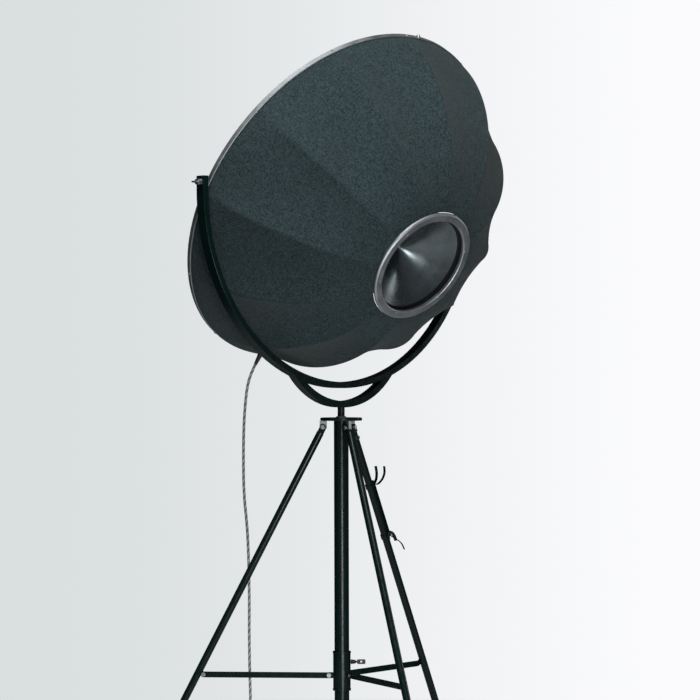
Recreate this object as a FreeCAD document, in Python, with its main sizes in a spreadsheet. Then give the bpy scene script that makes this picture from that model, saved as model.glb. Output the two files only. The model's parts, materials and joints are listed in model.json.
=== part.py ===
"""Tripod floor lamp with a tilting umbrella shade in a yoke.

Own frame: millimetres, +Z up, origin on the floor under the column's axis. The leg that carries the cord
hooks points along -X. The head stands turned by head_pan about +Z, so the shade faces nearly -Y.
"""
import FreeCAD, Part
import Sketcher
import os
from math import acos, cos, pi, radians, sin, tan

from FreeCAD import Placement, Rotation, Vector

DIMENSIONS = {
    # tripod
    "column_radius": 19.0,
    "column_bore": 16.0,
    "column_bottom": 150.0,
    "plate_bottom": 897.0,
    "plate_thickness": 8.0,
    "plate_radius": 54.0,
    "leg_pivot_radius": 46.7,
    "leg_pivot_height": 880.0,
    "leg_angle": 27.27,
    "leg_radius": 9.5,
    "leg_bore": 7.5,
    "leg_tube_top": 16.0,
    "leg_tube_end": 975.0,
    "tongue_thickness": 8.0,
    "fork_gap": 8.3,
    "fork_width": 17.0,
    "fork_depth": 16.0,
    "pivot_bolt_radius": 3.0,
    "running_gap": 0.05,
    "bolt_head_radius": 5.5,
    "bolt_head_height": 2.5,
    "clamp_screw_radius": 3.0,
    "clamp_screw_bore": 3.1,
    "foot_radius": 12.0,
    "foot_top": 945.0,
    # spreader
    "collar_radius": 22.5,
    "collar_bottom": 201.5,
    "collar_top": 302.5,
    "collar_rim": 1.0,
    "collar_rim_height": 5.0,
    "stay_height": 241.0,
    "stay_inner": 32.0,
    "stay_outer": 358.4,
    "stay_bar": 15.0,
    "stay_thickness": 3.5,
    "lug_side": 5.8,
    "lug_thickness": 4.0,
    "side_gap": 0.3,
    "clamp_azimuth": 125.75,
    "collar_screw_height": 275.0,
    "mast_screw_height": 853.0,
    # mast and yoke
    "mast_radius": 9.2,
    "mast_bore": 7.2,
    "mast_end": 334.3,
    "guide_radius": 15.9,
    "head_pan": -9.0,
    "pivot_height": 1494.0,
    "yoke_centre_height": 1473.3,
    "yoke_radius": 492.5,
    "yoke_bar": 16.0,
    "yoke_width": 27.8,
    "yoke_top": 1509.5,
    "crescent_radius": 232.0,
    "crescent_bar": 17.0,
    "crescent_width": 24.0,
    "crescent_height": 1163.0,
    "stud_radius": 5.0,
    # shade
    "shade_tilt": 31.675,
    "shade_behind": 4.0,
    "shade_below": 23.0,
    "rim_radius": 472.0,
    "rim_inner": 467.0,
    "rim_width": 14.0,
    "ring_radius": 152.4,
    "ring_opening": 131.0,
    "ring_back": 354.0,
    "ring_thickness": 9.0,
    "rib_count": 12.0,
    "rib_start": 466.0,
    "rib_end": 147.0,
    "rib_rise": 342.0,
    "rib_bulge": 1.7,
    "rib_width": 4.0,
    "rib_thickness": 2.4,
    "rib_first_angle": 2.2,
    "rib_last_angle": 88.0,
    "fabric_thickness": 1.2,
    "fabric_gap": 1.3,
    "lining_gap": 0.3,
    "fabric_sag": 14.0,
    "cone_edge": 126.5,
    "cone_edge_back": 332.5,
    "cone_apex_back": 246.0,
    "cone_wall": 1.2,
    "crossbar_radius": 6.0,
    "crossbar_turn": 5.0,
    # supply cord
    "cord_diameter": 7.5,
    "coil_radius": 41.25,
}

LEG_AZIMUTHS = {"a": 60.0, "b": 180.0, "c": 300.0}
X_AXIS, Y_AXIS, Z_AXIS = Vector(1, 0, 0), Vector(0, 1, 0), Vector(0, 0, 1)

doc = FreeCAD.newDocument("tripod_floor_lamp")
sheet = doc.addObject("Spreadsheet::Sheet", "spec")
for row, (alias, value) in enumerate(DIMENSIONS.items(), start=1):
    sheet.set(f"A{row}", alias)
    sheet.set(f"B{row}", str(value))
    sheet.setAlias(f"B{row}", alias)
doc.recompute()

nodes = []


def size(alias):
    """One driving dimension from the sheet, as a number."""
    return float(sheet.get(alias))


# ---------------------------------------------------------------- helpers


def bind(obj, **formulas):
    """Bind an object's properties to formulas over the sheet; a plain number is set as it is."""
    for name, formula in formulas.items():
        if isinstance(formula, str):
            obj.setExpression(name, formula)
        else:
            setattr(obj, name, formula)
    return obj


def put(obj, x=0, y=0, z=0, rotation=Rotation()):
    """Place a primitive; each coordinate is a number or a formula over the sheet."""
    numbers = [0 if isinstance(value, str) else value for value in (x, y, z)]
    obj.Placement = Placement(Vector(*numbers), rotation)
    for axis, value in zip("xyz", (x, y, z)):
        if isinstance(value, str):
            obj.setExpression(f"Placement.Base.{axis}", value)
    return obj


def turn_to(direction):
    """The rotation that carries +Z to a direction."""
    return Rotation(Z_AXIS, direction)


def cylinder(name, radius, height, x=0, y=0, z=0, along=Z_AXIS):
    obj = bind(doc.addObject("Part::Cylinder", name), Radius=radius, Height=height)
    return put(obj, x, y, z, turn_to(along))


def cone(name, radius, end_radius, height, x=0, y=0, z=0, along=Z_AXIS):
    obj = bind(doc.addObject("Part::Cone", name), Radius1=radius, Radius2=end_radius, Height=height)
    return put(obj, x, y, z, turn_to(along))


def box(name, length, width, height, x=0, y=0, z=0):
    obj = bind(doc.addObject("Part::Box", name), Length=length, Width=width, Height=height)
    return put(obj, x, y, z)


def sphere(name, radius, x=0, y=0, z=0):
    return put(bind(doc.addObject("Part::Sphere", name), Radius=radius), x, y, z)


def hexagon(name, radius, height, x=0, y=0, z=0, along=Z_AXIS):
    obj = bind(doc.addObject("Part::Prism", name), Circumradius=radius, Height=height)
    obj.Polygon = 6
    return put(obj, x, y, z, turn_to(along))


def fuse(name, *parts):
    obj = doc.addObject("Part::MultiFuse", name)
    obj.Shapes = list(parts)
    obj.Refine = True
    return obj


def cut(name, base, *tools):
    obj = doc.addObject("Part::Cut", name)
    obj.Base = base
    obj.Tool = tools[0] if len(tools) == 1 else fuse(f"{name}_tools", *tools)
    obj.Refine = True
    return obj


def common(name, first, second):
    obj = doc.addObject("Part::Common", name)
    obj.Base, obj.Tool = first, second
    return obj


def group(name, *parts):
    """Separate solids of one kind, kept in one sub-part."""
    obj = doc.addObject("Part::Compound", name)
    obj.Links = list(parts)
    return obj


def rounded(name, base, radius, chosen):
    """Fillet the edges of base that chosen picks."""
    doc.recompute()
    obj = doc.addObject("Part::Fillet", name)
    obj.Base = base
    obj.Edges = [(i, radius, radius) for i, edge in enumerate(base.Shape.Edges, start=1) if chosen(edge)]
    return obj


def turned(name, outline):
    """A body turned about Z; the outline is radius and height formulas, in order round the section."""
    body = doc.addObject("PartDesign::Body", name)
    sketch = body.newObject("Sketcher::SketchObject", f"{name}_section")
    plane = next(f for f in body.Origin.OriginFeatures if f.Role == "XZ_Plane")
    sketch.AttachmentSupport = [(plane, "")]
    sketch.MapMode = "FlatFace"
    guess = [Vector(*(evaluate(formula) for formula in point), 0) for point in outline]
    for i, start in enumerate(guess):
        sketch.addGeometry(Part.LineSegment(start, guess[(i + 1) % len(guess)]))
    for i, point in enumerate(outline):
        before = (i - 1) % len(outline)
        sketch.addConstraint(Sketcher.Constraint("Coincident", before, 2, i, 1))
        for kind, formula, value in zip(("DistanceX", "DistanceY"), point, (guess[i].x, guess[i].y)):
            number = sketch.addConstraint(Sketcher.Constraint(kind, -1, 1, i, 1, value))
            if isinstance(formula, str):
                sketch.setExpression(f"Constraints[{number}]", formula)
    turn = body.newObject("PartDesign::Revolution", f"{name}_turn")
    turn.Profile = sketch
    turn.ReferenceAxis = (sketch, ["V_Axis"])
    turn.Angle = 360.0
    body.Tip = turn
    return body


def evaluate(formula):
    """A formula's value now, for a sketch's first shape."""
    return float(sheet.evalExpression(formula)) if isinstance(formula, str) else float(formula)


def solid(name, shape):
    """A sub-part with a free form, which no primitive or body makes."""
    obj = doc.addObject("Part::Feature", name)
    obj.Shape = shape
    return obj


def node(label, obj, frame=Placement()):
    """Name a finished sub-part, place it and list it for export.

    A body whose own placement is bound to the sheet goes in a group, which takes the frame instead.
    """
    if any("Placement" in path for path, _ in obj.ExpressionEngine):
        obj = group(f"{obj.Name}_placed", obj)
    obj.Label = label
    obj.Placement = frame.multiply(obj.Placement)
    nodes.append(obj)


# ---------------------------------------------------------------- frames


def leg_plane(azimuth):
    """Frame whose X runs outwards along one leg's azimuth."""
    return Placement(Vector(), Rotation(Z_AXIS, azimuth))


def leg_frame(azimuth):
    """Frame at a leg's top pivot, with -Z down the leg and Y along the pivot."""
    pivot = Placement(
        Vector(size("leg_pivot_radius"), 0, size("leg_pivot_height")),
        Rotation(Y_AXIS, -size("leg_angle")),
    )
    return leg_plane(azimuth).multiply(pivot)


def clamp_frame(height):
    """Frame on the column's axis whose X runs out along a clamp screw."""
    return Placement(Vector(0, 0, height), Rotation(Z_AXIS, size("clamp_azimuth")))


HEAD = Placement(Vector(), Rotation(Z_AXIS, size("head_pan")))
TILT = radians(size("shade_tilt"))
BACK = Vector(0, cos(TILT), -sin(TILT))
UP = Vector(0, sin(TILT), cos(TILT))
SHADE_CENTRE = (
    Vector(0, 0, size("pivot_height")) + BACK * size("shade_behind") - UP * size("shade_below")
)
# The shade's frame: Z runs backwards along its axis, X along the tilt pivots and Y down across its mouth.
SHADE = HEAD.multiply(Placement(SHADE_CENTRE, Rotation(X_AXIS, -90 - size("shade_tilt"))))


# ---------------------------------------------------------------- shared pieces


def wing_screw(name, shaft_start, hub_start, reach):
    """Clamp screw along +X: a threaded shaft, a tapered hub, a neck and a flat upright eye to turn it by."""
    eye_length = 0.58 * (reach - hub_start)
    eye_middle, eye_height, eye_thickness = reach - eye_length / 2, 12.0, 3.6
    hub_length = reach - hub_start - eye_length - 3.0
    blank = box(f"{name}_blank", eye_length, eye_thickness, eye_height, x=reach - eye_length,
                y=-eye_thickness / 2, z=-eye_height / 2)
    outline = cylinder(f"{name}_outline", eye_length / 2 + 0.2, 10.0, x=eye_middle, y=-5.0, along=Y_AXIS)
    return cut(
        name,
        fuse(
            f"{name}_body",
            cylinder(f"{name}_shaft", "spec.clamp_screw_radius", hub_start - shaft_start, x=shaft_start,
                     along=X_AXIS),
            cone(f"{name}_hub", 6.2, 4.4, hub_length, x=hub_start, along=X_AXIS),
            cylinder(f"{name}_neck", 2.4, eye_length / 3 + 3.0, x=hub_start + hub_length, along=X_AXIS),
            common(f"{name}_ears", blank, outline),
        ),
        cylinder(f"{name}_eye", 2.6, 10.0, x=eye_middle, y=-5.0, along=Y_AXIS),
    )


def strip(name, points, thickness, width, side):
    """Flat strip bent along a path in the XZ plane, extruded across it from y = side."""
    path = bent_path([Vector(x, 0, z) for x, z in points], 0.45)
    face = path.makeOffset2D(thickness / 2, fill=True, openResult=True)
    if face.ShapeType != "Face":
        face = Part.Face(face)
    face.translate(Vector(0, side, 0))
    return solid(name, face.extrude(Vector(0, width, 0)))


def bent_path(points, share):
    """Straight runs joined by tangent arcs, each taking a share of its shorter run."""
    edges, start = [], points[0]
    for before, corner, after in zip(points, points[1:], points[2:]):
        incoming = (corner - before).normalize()
        outgoing = (after - corner).normalize()
        half_turn = acos(max(-1.0, min(1.0, incoming.dot(outgoing)))) / 2
        reach = share * min((corner - before).Length, (after - corner).Length)
        radius = reach / tan(half_turn)
        first, last = corner - incoming * reach, corner + outgoing * reach
        inward = (outgoing - incoming).normalize()
        middle = corner + inward * (radius / cos(half_turn) - radius)
        edges += [Part.LineSegment(start, first).toShape(), Part.Arc(first, middle, last).toShape()]
        start = last
    edges.append(Part.LineSegment(start, points[-1]).toShape())
    return Part.Wire(edges)


# ---------------------------------------------------------------- tripod


def build_column():
    tube = cut(
        "column_blank",
        cylinder("column_outside", "spec.column_radius", "spec.plate_bottom - spec.column_bottom",
                 z="spec.column_bottom"),
        cylinder("column_inside", "spec.column_bore", "spec.plate_bottom", z=0),
    )
    hole = cylinder("column_hole", "spec.clamp_screw_bore", 40.0, along=X_AXIS)
    hole.Placement = clamp_frame(size("mast_screw_height")).multiply(hole.Placement)
    node("column_tube", cut("column", tube, hole))
    node("column_end_cap", turned("end_cap", [
        (0, "spec.column_bottom - 6"),
        ("spec.column_radius - 1.5", "spec.column_bottom - 6"),
        ("spec.column_radius", "spec.column_bottom - 4.5"),
        ("spec.column_radius", "spec.column_bottom"),
        ("spec.column_bore", "spec.column_bottom"),
        ("spec.column_bore", "spec.column_bottom + 15"),
        (0, "spec.column_bottom + 15"),
    ]))
    boss = cut(
        "lock_boss",
        cylinder("lock_boss_blank", 7.5, 12.0, x=16.0, along=X_AXIS),
        cylinder("lock_boss_saddle", "spec.column_radius", 40.0, z=-20.0),
        cylinder("lock_boss_bore", "spec.clamp_screw_bore", 40.0, along=X_AXIS),
    )
    node("mast_lock_boss", boss, clamp_frame(size("mast_screw_height")))
    screw = wing_screw("lock_screw", size("mast_radius") + 0.6, 28.3, 48.0)
    node("mast_lock_screw", screw, clamp_frame(size("mast_screw_height")))


def build_top_plate():
    disc = cylinder("plate_disc", "spec.plate_radius", "spec.plate_thickness", z="spec.plate_bottom")
    disc = rounded("plate_edge", disc, 2.0, lambda edge: edge.Length > 300)
    tongues, holes = [], []
    for key, azimuth in LEG_AZIMUTHS.items():
        block = box(f"tongue_block_{key}", 18.0, "spec.tongue_thickness",
                    "spec.plate_bottom - spec.leg_pivot_height",
                    x="spec.leg_pivot_radius - 9", y="-spec.tongue_thickness / 2", z="spec.leg_pivot_height")
        end = cylinder(f"tongue_end_{key}", 9.0, "spec.tongue_thickness", x="spec.leg_pivot_radius",
                       y="-spec.tongue_thickness / 2", z="spec.leg_pivot_height", along=Y_AXIS)
        tongue = fuse(f"tongue_{key}", block, end)
        tongue.Placement = leg_plane(azimuth)
        tongues.append(tongue)
        hole = cylinder(f"tongue_hole_{key}", "spec.pivot_bolt_radius", 40.0,
                        x="spec.leg_pivot_radius", y=-20.0, z="spec.leg_pivot_height", along=Y_AXIS)
        holes.append(group(f"tongue_drill_{key}", hole))
        holes[-1].Placement = leg_plane(azimuth)
    bore = cylinder("plate_bore", 12.0, "spec.plate_thickness + 2", z="spec.plate_bottom - 1")
    node("top_plate", cut("plate", disc, bore))
    node("leg_tongues", cut("drilled_tongues", group("tongue_set", *tongues), *holes))
    node("mast_bush", turned("bush", [
        ("spec.mast_radius + spec.running_gap", "spec.plate_bottom"),
        (12, "spec.plate_bottom"),
        (12, "spec.plate_bottom + spec.plate_thickness"),
        (14, "spec.plate_bottom + spec.plate_thickness"),
        (14, "spec.plate_bottom + spec.plate_thickness + 1"),
        (12, "spec.plate_bottom + spec.plate_thickness + 3.5"),
        ("spec.mast_radius + spec.running_gap", "spec.plate_bottom + spec.plate_thickness + 3.5"),
    ]))
    bolts = []
    for key, azimuth in LEG_AZIMUTHS.items():
        bolt = fuse(
            f"pivot_bolt_{key}",
            cylinder(f"pivot_shaft_{key}", "spec.pivot_bolt_radius", "spec.fork_width + 1",
                     y="-spec.fork_width / 2 - 0.5", along=Y_AXIS),
            cylinder(f"pivot_head_{key}", "spec.bolt_head_radius", "spec.bolt_head_height",
                     y="spec.fork_width / 2 + 0.3", along=Y_AXIS),
            hexagon(f"pivot_nut_{key}", 5.8, 4.0, y="-spec.fork_width / 2 - 4.3", along=Y_AXIS),
        )
        bolt.Placement = leg_frame(azimuth)
        bolts.append(bolt)
    node("leg_pivot_bolts", group("pivot_bolts", *bolts))


def build_leg(key, azimuth):
    frame = leg_frame(azimuth)
    tube = cut(
        f"leg_{key}",
        cylinder(f"leg_outside_{key}", "spec.leg_radius", "spec.leg_tube_end - spec.leg_tube_top",
                 z="-spec.leg_tube_end"),
        cylinder(f"leg_inside_{key}", "spec.leg_bore", "spec.leg_tube_end", z="-spec.leg_tube_end"),
    )
    node(f"leg_tube_{key}", tube, frame)
    fork = cut(
        f"fork_{key}",
        fuse(
            f"fork_blank_{key}",
            box(f"fork_block_{key}", "spec.fork_depth", "spec.fork_width", "spec.leg_tube_top",
                x="-spec.fork_depth / 2", y="-spec.fork_width / 2", z="-spec.leg_tube_top"),
            cylinder(f"fork_round_{key}", "spec.fork_depth / 2", "spec.fork_width",
                     y="-spec.fork_width / 2", along=Y_AXIS),
            cylinder(f"fork_spigot_{key}", "spec.leg_bore", 26.0, z="-spec.leg_tube_top - 26"),
        ),
        box(f"fork_slot_{key}", 30.0, "spec.fork_gap", 30.0, x=-15.0, y="-spec.fork_gap / 2", z=-12.0),
        cylinder(f"fork_hole_{key}", "spec.pivot_bolt_radius + spec.running_gap", 40.0, y=-20.0,
                 along=Y_AXIS),
    )
    node(f"leg_fork_{key}", fork, frame)

    floor = box(f"floor_{key}", 600.0, 200.0, 100.0)
    floor.Placement = leg_frame(0).inverse().multiply(Placement(Vector(300, -100, -100), Rotation()))
    foot = cut(
        f"foot_blank_{key}",
        cylinder(f"foot_outside_{key}", "spec.foot_radius", 70.0, z="-spec.foot_top - 70"),
        cylinder(f"foot_socket_{key}", "spec.leg_radius", "spec.leg_tube_end - spec.foot_top",
                 z="-spec.leg_tube_end"),
        floor,
    )
    node(f"foot_{key}", rounded(f"foot_rubber_{key}", foot, 1.5, is_foot_top), frame)

    pin = stay_pin_in_leg()
    lug = cut(
        f"lug_{key}",
        fuse(
            f"lug_blank_{key}",
            box(f"lug_plate_{key}", -pin.x - 1.0, "spec.lug_thickness", 13.0, x=pin.x, y="spec.lug_side",
                z=pin.z - 6.5),
            cylinder(f"lug_round_{key}", 6.5, "spec.lug_thickness", x=pin.x, y="spec.lug_side", z=pin.z,
                     along=Y_AXIS),
        ),
        cylinder(f"lug_saddle_{key}", "spec.leg_radius", 60.0, z=pin.z - 30.0),
    )
    node(f"leg_lug_{key}", lug, frame)


def is_foot_top(edge):
    """The foot's upper outer edge, a full circle at the foot's radius."""
    return abs(edge.Length - 2 * pi * size("foot_radius")) < 0.1 and len(edge.Vertexes) == 1


def stay_pin_in_leg():
    """The outer stay pin in the leg's frame."""
    pin = Vector(size("stay_outer"), 0, size("stay_height"))
    return leg_frame(0).inverse().multVec(pin)


# ---------------------------------------------------------------- spreader


def build_collar():
    sleeve = turned("collar_sleeve", [
        ("spec.column_radius + spec.running_gap", "spec.collar_bottom"),
        ("spec.collar_radius + spec.collar_rim", "spec.collar_bottom"),
        ("spec.collar_radius + spec.collar_rim", "spec.collar_bottom + spec.collar_rim_height"),
        ("spec.collar_radius", "spec.collar_bottom + spec.collar_rim_height"),
        ("spec.collar_radius", "spec.collar_top - spec.collar_rim_height"),
        ("spec.collar_radius + spec.collar_rim", "spec.collar_top - spec.collar_rim_height"),
        ("spec.collar_radius + spec.collar_rim", "spec.collar_top"),
        ("spec.column_radius + spec.running_gap", "spec.collar_top"),
    ])
    lugs, drills, pins = [], [], []
    for key, azimuth in LEG_AZIMUTHS.items():
        lug = fuse(
            f"collar_lug_{key}",
            box(f"collar_lug_plate_{key}", "spec.stay_inner - 20", "spec.lug_thickness", "spec.stay_bar",
                x=20.0, y="spec.lug_side", z="spec.stay_height - spec.stay_bar / 2"),
            cylinder(f"collar_lug_round_{key}", "spec.stay_bar / 2", "spec.lug_thickness",
                     x="spec.stay_inner", y="spec.lug_side", z="spec.stay_height", along=Y_AXIS),
        )
        lug.Placement = leg_plane(azimuth)
        lugs.append(lug)
        drill = group(f"collar_drill_{key}", cylinder(
            f"collar_lug_hole_{key}", "spec.pivot_bolt_radius", 20.0, x="spec.stay_inner", y=0,
            z="spec.stay_height", along=Y_AXIS))
        drill.Placement = leg_plane(azimuth)
        drills.append(drill)
        reach = size("lug_side") + size("lug_thickness") + 2 * size("side_gap") + size("stay_thickness")
        pin = fuse(
            f"stay_pin_{key}",
            cylinder(f"stay_pin_shaft_{key}", "spec.pivot_bolt_radius", reach - 3.0,
                     x="spec.stay_inner", y=3.0, z="spec.stay_height", along=Y_AXIS),
            cylinder(f"stay_pin_head_{key}", "spec.bolt_head_radius", "spec.bolt_head_height",
                     x="spec.stay_inner", y=reach, z="spec.stay_height", along=Y_AXIS),
        )
        pin.Placement = leg_plane(azimuth)
        pins.append(pin)
    hole = cylinder("collar_screw_hole", "spec.clamp_screw_bore", 40.0, along=X_AXIS)
    hole.Placement = clamp_frame(size("collar_screw_height")).multiply(hole.Placement)
    bore = cylinder("collar_bore", "spec.column_radius + spec.running_gap", 200.0, z=150.0)
    node("spreader_collar", cut("collar", fuse("collar_blank", sleeve, *lugs), bore, hole, *drills))
    node("stay_inner_pins", group("stay_pins", *pins))
    screw = wing_screw("collar_screw", size("column_radius") + 0.4, 23.0, 61.0)
    node("collar_wing_screw", screw, clamp_frame(size("collar_screw_height")))


def build_stay(key, azimuth):
    side = "spec.lug_side + spec.lug_thickness + spec.side_gap"
    bar = cut(
        f"stay_{key}",
        fuse(
            f"stay_blank_{key}",
            box(f"stay_bar_{key}", "spec.stay_outer - spec.stay_inner", "spec.stay_thickness",
                "spec.stay_bar", x="spec.stay_inner", y=side, z="spec.stay_height - spec.stay_bar / 2"),
            cylinder(f"stay_inner_end_{key}", "spec.stay_bar / 2", "spec.stay_thickness",
                     x="spec.stay_inner", y=side, z="spec.stay_height", along=Y_AXIS),
            cylinder(f"stay_outer_end_{key}", "spec.stay_bar / 2", "spec.stay_thickness",
                     x="spec.stay_outer", y=side, z="spec.stay_height", along=Y_AXIS),
        ),
        cylinder(f"stay_inner_hole_{key}", "spec.pivot_bolt_radius + spec.running_gap", 30.0,
                 x="spec.stay_inner", y=0, z="spec.stay_height", along=Y_AXIS),
        cylinder(f"stay_outer_hole_{key}", "spec.pivot_bolt_radius", 30.0, x="spec.stay_outer", y=0,
                 z="spec.stay_height", along=Y_AXIS),
    )
    node(f"stay_{key}", bar, leg_plane(azimuth))
    bolt = fuse(
        f"stay_bolt_{key}",
        cylinder(f"stay_bolt_shaft_{key}", "spec.pivot_bolt_radius", "spec.stay_thickness",
                 x="spec.stay_outer", y=side, z="spec.stay_height", along=Y_AXIS),
        cylinder(f"stay_bolt_head_{key}", "spec.bolt_head_radius", "spec.bolt_head_height",
                 x="spec.stay_outer", y=f"{side} + spec.stay_thickness", z="spec.stay_height", along=Y_AXIS),
    )
    node(f"stay_bolt_{key}", bolt, leg_plane(azimuth))


# ---------------------------------------------------------------- cord hooks on leg b


def build_hooks():
    azimuth = LEG_AZIMUTHS["b"]
    frame = leg_frame(azimuth)
    band_top, band_bottom, band_height, band_radius = 176.0, 326.0, 12.0, 11.7
    bands = [
        cut(
            f"hook_band_{i}",
            cylinder(f"hook_band_outside_{i}", band_radius, band_height, z=-along_leg - band_height / 2),
            cylinder(f"hook_band_inside_{i}", "spec.leg_radius", 40.0, z=-along_leg - 20.0),
        )
        for i, along_leg in enumerate((band_top, band_bottom))
    ]
    plate = box("hook_plate", 3.8, 16.0, band_bottom - band_top + band_height, x=band_radius - 0.8, y=-8.0,
                z=-band_bottom - band_height / 2)
    node("hook_bracket", fuse("bracket", plate, *bands), frame)
    heads = [
        cone(f"hook_screw_{i}", 4.0, 2.8, 2.6, x=band_radius + 3.0, z=-along_leg, along=X_AXIS)
        for i, along_leg in enumerate((band_top + 18.0, band_bottom - 24.0))
    ]
    node("hook_screws", group("screws", *heads), frame)

    # Each horn: its path out from and along the leg, its thickness, its width and its turn round the leg.
    outer = band_radius + 3.0
    up = [(outer + 1.5, -168.0), (outer + 1.5, -181.0), (outer + 14.0, -186.0), (outer + 33.0, -182.0),
          (outer + 47.0, -170.0), (outer + 52.0, -152.0)]
    far = [(outer + 3.2, -306.0), (outer + 3.2, -321.0), (outer + 17.0, -332.0), (outer + 34.0, -343.0),
           (outer + 45.0, -358.0), (outer + 48.0, -376.0)]
    near = [(outer + 1.5, -320.0), (outer + 1.5, -334.0), (outer + 10.0, -346.0), (outer + 22.0, -360.0),
            (outer + 29.0, -374.0), (outer + 31.0, -392.0)]
    behind = [(band_radius - 0.7, -328.0), (outer + 8.0, -333.0), (outer + 13.0, -322.0),
              (outer + 19.0, -303.0)]
    horns = {
        "hook_upper": [(up, 3.4, 7.0, 12.0), (up, 3.4, 7.0, -12.0)],
        "hook_lower": [(far, 6.4, 8.0, 17.0), (near, 3.0, 5.0, -17.0), (behind, 3.0, 4.5, -120.0)],
    }
    for label, shapes in horns.items():
        turned_horns = []
        for i, (path, thickness, width, turn) in enumerate(shapes):
            horn = group(f"{label}_{i}", strip(f"{label}_horn_{i}", path, thickness, width, -width / 2))
            horn.Placement = Placement(Vector(), Rotation(Z_AXIS, turn))
            turned_horns.append(horn)
        node(label, fuse(f"{label}_horns", *turned_horns), frame)


# ---------------------------------------------------------------- mast and yoke


def build_mast():
    node("mast_guide", turned("guide", [
        (0, "spec.mast_end - 4.3"),
        ("spec.guide_radius", "spec.mast_end - 4.3"),
        ("spec.guide_radius", "spec.mast_end + 16"),
        ("spec.mast_radius + spec.running_gap", "spec.mast_end + 16"),
        ("spec.mast_radius + spec.running_gap", "spec.mast_end - 0.3"),
        (0, "spec.mast_end - 0.3"),
    ]))
    top = "spec.crescent_height - spec.crescent_radius + 4"
    rod = cut(
        "mast",
        cylinder("mast_outside", "spec.mast_radius", f"{top} - spec.mast_end", z="spec.mast_end"),
        cylinder("mast_inside", "spec.mast_bore", 560.0, z="spec.mast_end"),
        cylinder("mast_saddle", "spec.crescent_radius", 60.0, y=-30.0, z="spec.crescent_height",
                 along=Y_AXIS),
    )
    node("mast_tube", rod, HEAD)


def build_yoke():
    half = "-spec.yoke_width / 2"
    hoop = cut(
        "yoke_hoop",
        cylinder("yoke_outside", "spec.yoke_radius", "spec.yoke_width", y=half,
                 z="spec.yoke_centre_height", along=Y_AXIS),
        cylinder("yoke_inside", "spec.yoke_radius - spec.yoke_bar", 60.0, y=-30.0,
                 z="spec.yoke_centre_height", along=Y_AXIS),
        box("yoke_upper_half", 1200.0, 60.0, 700.0, x=-600.0, y=-30.0, z="spec.yoke_centre_height"),
    )
    arms = []
    for side, start in (("left", "spec.yoke_radius - spec.yoke_bar"), ("right", "-spec.yoke_radius")):
        arms.append(box(f"yoke_arm_{side}", "spec.yoke_bar", "spec.yoke_width",
                        "spec.yoke_top - spec.yoke_centre_height", x=start, y=half,
                        z="spec.yoke_centre_height"))
    holes = cylinder("yoke_holes", "spec.stud_radius + spec.running_gap", 1200.0, x=-600.0,
                     z="spec.pivot_height", along=X_AXIS)
    bar = cut("yoke_bar", fuse("yoke_blank", hoop, *arms), holes)
    node("yoke_arc", rounded("yoke", bar, 1.6, lambda edge: edge.Length > 1000 or is_arm_edge(edge)), HEAD)

    crescent = cut(
        "crescent_blank",
        cylinder("crescent_outside", "spec.crescent_radius", "spec.crescent_width",
                 y="-spec.crescent_width / 2", z="spec.crescent_height", along=Y_AXIS),
        cylinder("crescent_inside", "spec.crescent_radius - spec.crescent_bar", 60.0, y=-30.0,
                 z="spec.crescent_height", along=Y_AXIS),
        cylinder("crescent_saddle", "spec.yoke_radius", 60.0, y=-30.0, z="spec.yoke_centre_height",
                 along=Y_AXIS),
    )
    node("yoke_crescent", crescent, HEAD)

    for side, turn in (("left", 0.0), ("right", 180.0)):
        frame = HEAD.multiply(Placement(Vector(0, 0, size("pivot_height")), Rotation(Z_AXIS, turn)))
        node(f"wing_nut_{side}", wing_nut(side), frame)


def is_arm_edge(edge):
    """A long straight edge of a yoke arm."""
    return abs(edge.Length - (size("yoke_top") - size("yoke_centre_height"))) < 1.0


def wing_nut(side):
    """Clamp nut on the stud outside the yoke's arm, with two ears lying level."""
    start = size("yoke_radius") + 0.3
    hub = cone(f"nut_hub_{side}", 8.5, 7.0, 12.0, x=start, along=X_AXIS)
    blank = box(f"nut_blank_{side}", 17.0, 27.0, 3.4, x=start + 5.0, y=-13.5, z=-1.7)
    outline = cylinder(f"nut_outline_{side}", 15.0, 10.0, x=start + 8.0, z=-5.0)
    ears = common(f"nut_ears_{side}", blank, outline)
    thread = cylinder(f"nut_thread_{side}", "spec.stud_radius + spec.running_gap", 9.5, x=start - 1.0,
                      along=X_AXIS)
    return cut(f"nut_{side}", fuse(f"nut_blank_{side}_ears", hub, ears), thread)


# ---------------------------------------------------------------- shade


def rib_point(share, offset):
    """Radius and height of the rib's curve at a share of its length, moved out along its normal."""
    power = 2 / size("rib_bulge")
    start, end, rise = size("rib_start"), size("rib_end"), size("rib_rise")

    def on_curve(angle):
        return Vector(end + (start - end) * cos(angle) ** power, rise * sin(angle) ** power, 0)

    low, high = radians(size("rib_first_angle")), radians(size("rib_last_angle"))
    angle = low + (high - low) * share
    along = on_curve(angle + 0.01) - on_curve(angle - 0.01)
    normal = Vector(along.y, -along.x, 0).normalize()
    return on_curve(angle) + normal * offset


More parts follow.
